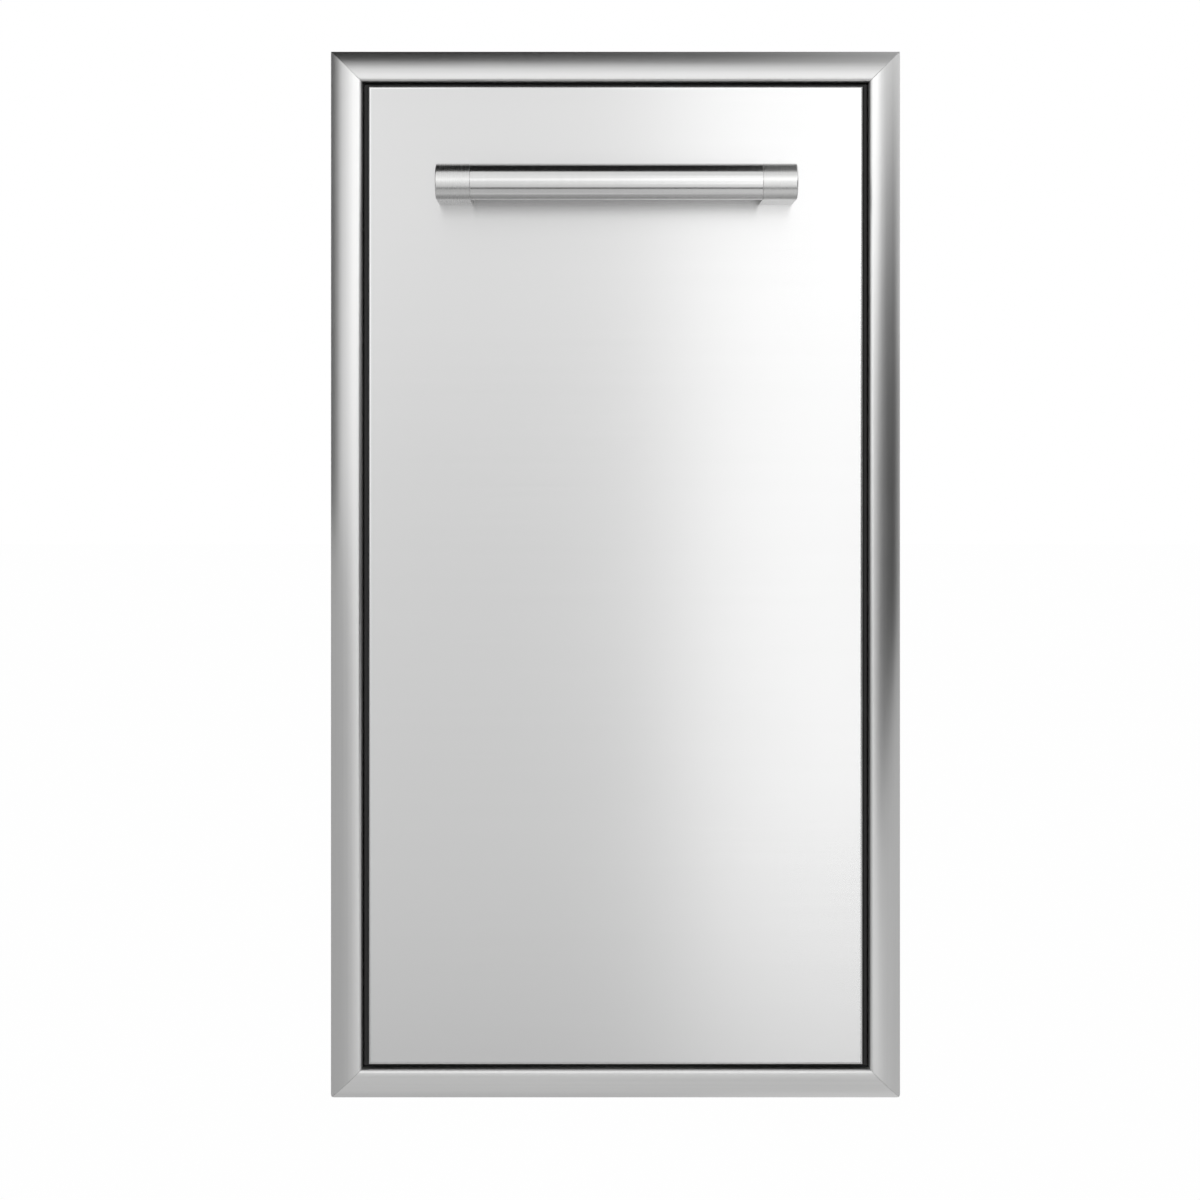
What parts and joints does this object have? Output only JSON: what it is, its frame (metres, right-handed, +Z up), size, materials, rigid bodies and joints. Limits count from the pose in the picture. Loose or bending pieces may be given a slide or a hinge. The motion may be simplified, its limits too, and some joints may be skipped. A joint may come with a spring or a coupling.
{
  "type": "pull-out trash drawer",
  "caption": "Tall stainless pull-out trash drawer: brushed front with a bar handle in a mitred convex bezel, on telescoping ball-bearing slides, carrying a lift-out bin.",
  "frame": {"origin": "middle of the bezel on the wall plane that its flanges lie against", "axes": "+Z up, +Y into the wall, front facing -Y"},
  "size_m": [0.381, 0.5628, 0.7],
  "materials": {
    "bezel_steel": "brushed along each rail",
    "panel_steel": "brushed across",
    "handle_steel": "satin",
    "chassis_steel": "mill finish",
    "slide_zinc": "bright zinc plate",
    "cage_steel": "pressed strip",
    "ball_steel": "polished",
    "rivet_steel": "bright",
    "screw_steel": "bright",
    "gasket_rubber": "matt",
    "plug_plastic": "matt",
    "lever_plastic": "matt",
    "bin_plastic": "fine grain"
  },
  "bodies": {
    "cabinet": {"bezel_top_rail": "bezel_steel", "bezel_bottom_rail": "bezel_steel", "bezel_left_stile": "bezel_steel", "bezel_right_stile": "bezel_steel", "door_gasket": "gasket_rubber", "side_panel_left": "chassis_steel", "side_panel_right": "chassis_steel", "back_panel": "chassis_steel", "base_pan": "chassis_steel", "slide_outer_left": "slide_zinc", "slide_outer_right": "slide_zinc", "chassis_rivets": "rivet_steel", "cabinet_slide_screws": "screw_steel"},
    "drawer": {"front_panel": "panel_steel", "front_liner": "chassis_steel", "handle_bar": "handle_steel", "handle_end_left": "handle_steel", "handle_end_right": "handle_steel", "handle_screws": "screw_steel", "liner_plugs": "plug_plastic", "drawer_side_left": "chassis_steel", "drawer_side_right": "chassis_steel", "drawer_back": "chassis_steel", "drawer_tray": "chassis_steel", "bin_clips": "chassis_steel", "drawer_rivets": "rivet_steel", "slide_inner_left": "slide_zinc", "slide_inner_right": "slide_zinc", "drawer_slide_screws": "screw_steel", "front_fixing_screws": "screw_steel", "lever_rivets": "rivet_steel"},
    "middle_left": {"slide_middle_left": "slide_zinc"},
    "outer_cage_left": {"outer_ball_cage_left": "cage_steel", "outer_balls_left": "ball_steel"},
    "inner_cage_left": {"inner_ball_cage_left": "cage_steel", "inner_balls_left": "ball_steel"},
    "lever_left": {"release_lever_left": "lever_plastic"},
    "middle_right": {"slide_middle_right": "slide_zinc"},
    "outer_cage_right": {"outer_ball_cage_right": "cage_steel", "outer_balls_right": "ball_steel"},
    "inner_cage_right": {"inner_ball_cage_right": "cage_steel", "inner_balls_right": "ball_steel"},
    "lever_right": {"release_lever_right": "lever_plastic"},
    "bin": {"trash_bin": "bin_plastic"}
  },
  "joints": [
    {"name": "drawer_slide", "type": "slide", "parent": "cabinet", "child": "drawer", "axis": [0, -1, 0], "range_m": [0, 0.45]},
    {"name": "middle_left_slide", "type": "slide", "parent": "cabinet", "child": "middle_left", "axis": [0, -1, 0], "range_m": [0, 0.225]},
    {"name": "outer_cage_left_slide", "type": "slide", "parent": "cabinet", "child": "outer_cage_left", "axis": [0, -1, 0], "range_m": [0, 0.1125]},
    {"name": "inner_cage_left_slide", "type": "slide", "parent": "cabinet", "child": "inner_cage_left", "axis": [0, -1, 0], "range_m": [0, 0.3375]},
    {"name": "lever_left_pivot", "type": "hinge", "parent": "drawer", "child": "lever_left", "pos_m": [-0.1473, 0.272, -0.1219], "axis": [1, 0, 0], "range_deg": [-5, 5], "stiffness_Nm_per_rad": 0.02},
    {"name": "middle_right_slide", "type": "slide", "parent": "cabinet", "child": "middle_right", "axis": [0, -1, 0], "range_m": [0, 0.225]},
    {"name": "outer_cage_right_slide", "type": "slide", "parent": "cabinet", "child": "outer_cage_right", "axis": [0, -1, 0], "range_m": [0, 0.1125]},
    {"name": "inner_cage_right_slide", "type": "slide", "parent": "cabinet", "child": "inner_cage_right", "axis": [0, -1, 0], "range_m": [0, 0.3375]},
    {"name": "lever_right_pivot", "type": "hinge", "parent": "drawer", "child": "lever_right", "pos_m": [0.1473, 0.272, -0.1219], "axis": [1, 0, 0], "range_deg": [-5, 5], "stiffness_Nm_per_rad": 0.02},
    {"name": "bin_lift", "type": "slide", "parent": "drawer", "child": "bin", "axis": [0, 0, 1], "range_m": [0, 0.63]}
  ],
  "couplings": [
    {"joint": "middle_left_slide", "follows": "drawer_slide", "ratio": 0.5},
    {"joint": "outer_cage_left_slide", "follows": "drawer_slide", "ratio": 0.25},
    {"joint": "inner_cage_left_slide", "follows": "drawer_slide", "ratio": 0.75},
    {"joint": "middle_right_slide", "follows": "drawer_slide", "ratio": 0.5},
    {"joint": "outer_cage_right_slide", "follows": "drawer_slide", "ratio": 0.25},
    {"joint": "inner_cage_right_slide", "follows": "drawer_slide", "ratio": 0.75}
  ]
}
